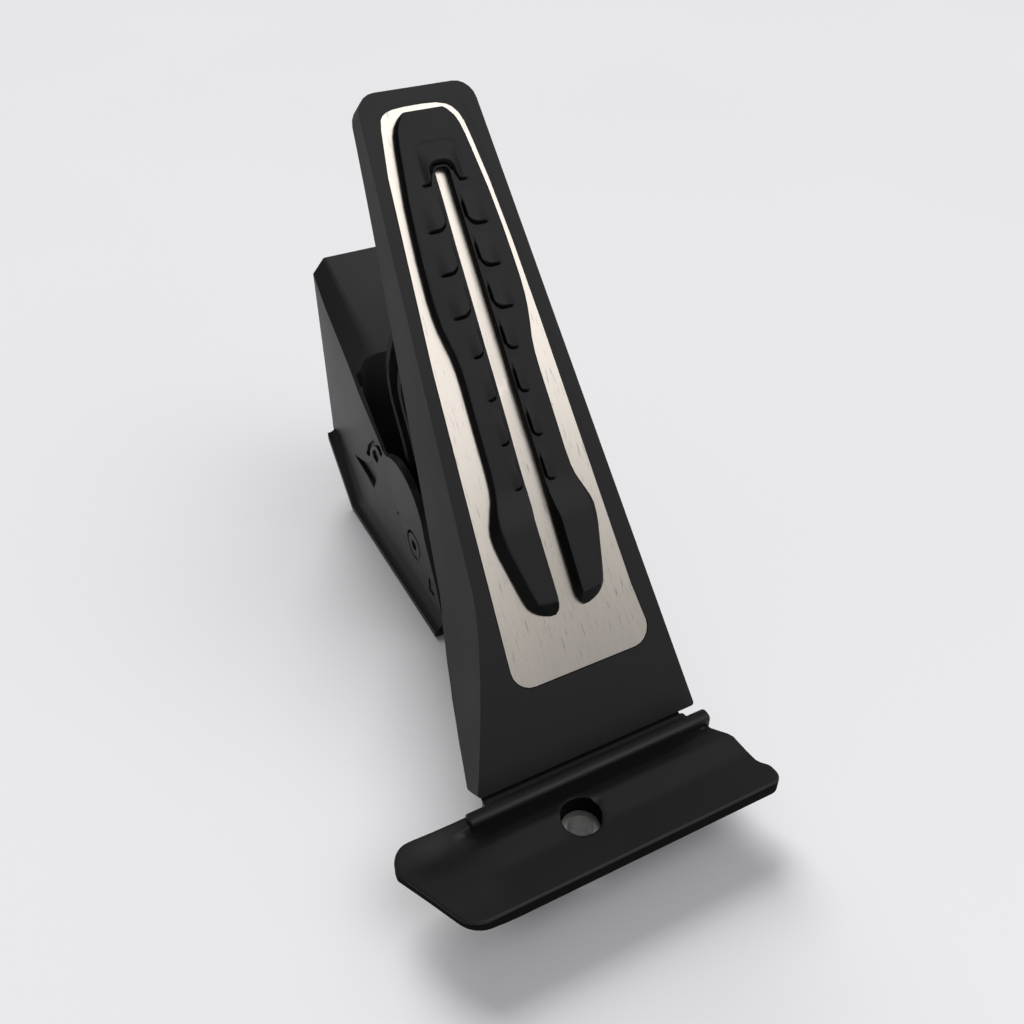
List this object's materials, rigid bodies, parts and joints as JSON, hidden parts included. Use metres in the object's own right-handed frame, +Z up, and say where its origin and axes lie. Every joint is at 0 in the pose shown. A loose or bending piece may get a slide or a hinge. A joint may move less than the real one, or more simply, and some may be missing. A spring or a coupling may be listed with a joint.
{
  "type": "accelerator pedal",
  "caption": "Floor-hinged accelerator pedal: tapered tread with steel inlay and rubber grip, hinged to a foot plate, working a sprung lever in a sensor housing.",
  "frame": {"origin": "on the flat underside of the base, below the middle of the tread's hinge line", "axes": "+X to the driver's right, +Y to the front of the car, +Z up"},
  "size_m": [0.1121, 0.2192, 0.1731],
  "materials": {
    "housing": "fine grained, glass filled nylon",
    "inner_plastic": "smooth moulded",
    "natural_plastic": "smooth sliding plastic",
    "rubber": "soft matt",
    "brushed_steel": "brushed lengthwise",
    "steel": "plain bright",
    "brass": "plain",
    "board": "lacquered",
    "magnet": "plain"
  },
  "bodies": {
    "module": {"base_housing": "housing", "sensor_cover": "housing", "cover_seal": "rubber", "sensor_board": "board", "foot_plate": "housing", "film_hinge": "housing", "foot_sleeve": "steel", "lever_axle": "steel", "pivot_cap": "inner_plastic", "return_spring_left": "steel", "return_spring_right": "steel", "friction_shoe": "natural_plastic", "friction_spring": "steel", "rest_buffer": "rubber", "wall_bush": "brass", "cover_screw_1": "steel", "cover_screw_2": "steel", "cover_screw_3": "steel", "cover_screw_4": "steel", "foot_screw_1": "steel", "foot_screw_2": "steel", "connector_pin_1": "brass", "connector_pin_2": "brass", "connector_pin_3": "brass", "connector_pin_4": "brass", "connector_pin_5": "brass", "connector_pin_6": "brass"},
    "pedal": {"pedal_plate": "housing", "steel_inlay": "brushed_steel", "rubber_grip": "rubber", "guide_track": "natural_plastic"},
    "lever_arm": {"lever": "inner_plastic", "lever_bush": "brass", "slide_shoe": "natural_plastic", "sensor_magnet": "magnet"}
  },
  "joints": [
    {"name": "pedal_hinge", "type": "hinge", "parent": "module", "child": "pedal", "pos_m": [0, -0.0013, 0.02034], "axis": [-1, 0, 0], "range_deg": [0, 14], "stiffness_Nm_per_rad": 5, "springref_deg": -22.92, "deforming": ["film_hinge"]},
    {"name": "lever_hinge", "type": "hinge", "parent": "module", "child": "lever_arm", "pos_m": [0, 0.1033, 0.0233], "axis": [-1, 0, 0], "range_deg": [0, 27.2], "deforming": ["return_spring_left", "return_spring_right"]}
  ],
  "couplings": [
    {"joint": "lever_hinge", "follows": "pedal_hinge", "ratio": 1.94}
  ]
}
